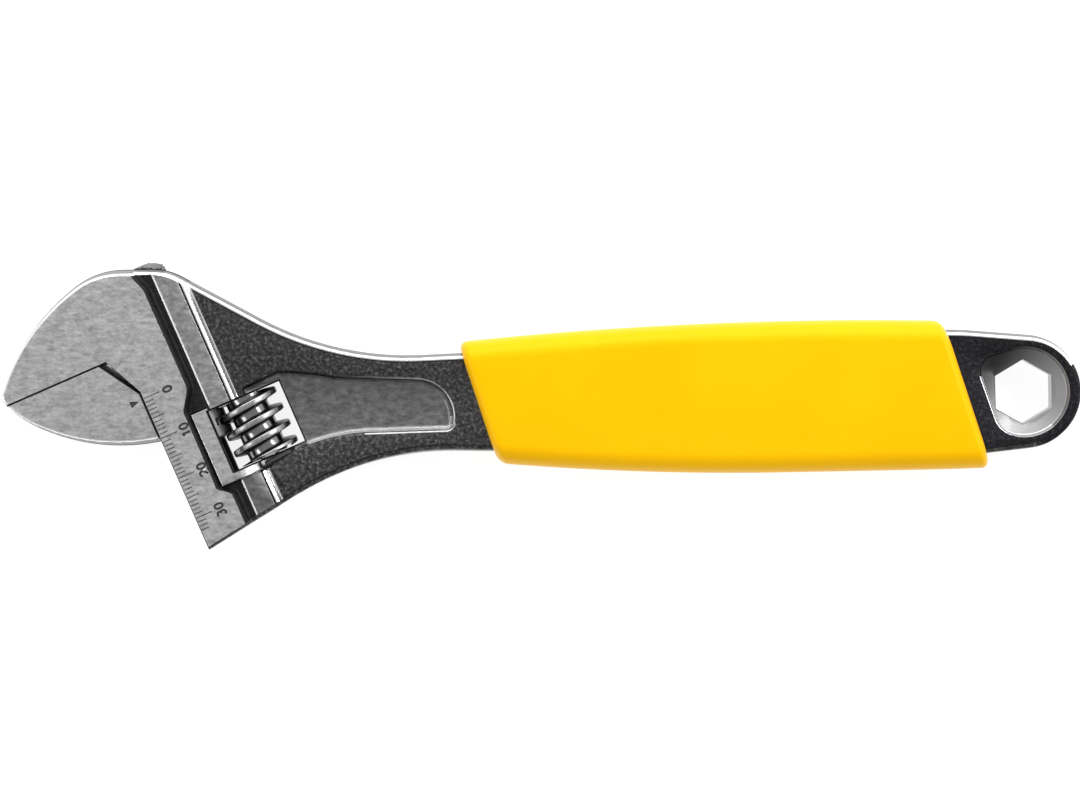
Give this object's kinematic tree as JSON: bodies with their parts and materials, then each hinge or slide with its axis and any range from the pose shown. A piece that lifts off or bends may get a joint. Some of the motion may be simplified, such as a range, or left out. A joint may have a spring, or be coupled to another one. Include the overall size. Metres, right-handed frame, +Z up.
{
  "type": "adjustable wrench",
  "caption": "Adjustable wrench with a sliding lower jaw driven by a thumb worm, a scale on the head, a sleeved handle and a hexagonal hole in its end ring.",
  "frame": {"origin": "centre of the footprint of the closed wrench lying flat, on the surface that it lies on", "axes": "+X along the handle from the jaws to the ring, +Y to the fixed-jaw side of the head, +Z up, through the thickness"},
  "size_m": [0.25, 0.0664, 0.0154],
  "materials": {
    "plated_steel": "satin chrome plate on forged steel, ground and bright on the faces, rough and dark in the recesses",
    "ground_steel": "satin, ground",
    "worm_steel": "turned",
    "pin_steel": "turned",
    "spring_steel": "drawn wire",
    "yellow_vinyl": "dipped vinyl, slight sheen"
  },
  "bodies": {
    "body": {"body": "plated_steel", "grip": "yellow_vinyl", "worm_pin": "pin_steel", "worm_spring": "spring_steel"},
    "jaw": {"movable_jaw": "ground_steel"},
    "worm": {"worm": "worm_steel"}
  },
  "joints": [
    {"name": "worm_spin", "type": "hinge", "parent": "body", "child": "worm", "pos_m": [-0.06603, -0.00505, 0.0077], "axis": [-0.3827, 0.9239, 0], "range_deg": [0, 2635]},
    {"name": "jaw_slide", "type": "slide", "parent": "body", "child": "jaw", "axis": [0.3827, -0.9239, 0], "range_m": [0, 0.03]}
  ],
  "couplings": [
    {"joint": "worm_spin", "follows": "jaw_slide", "rad_per_m": 1532.5}
  ]
}
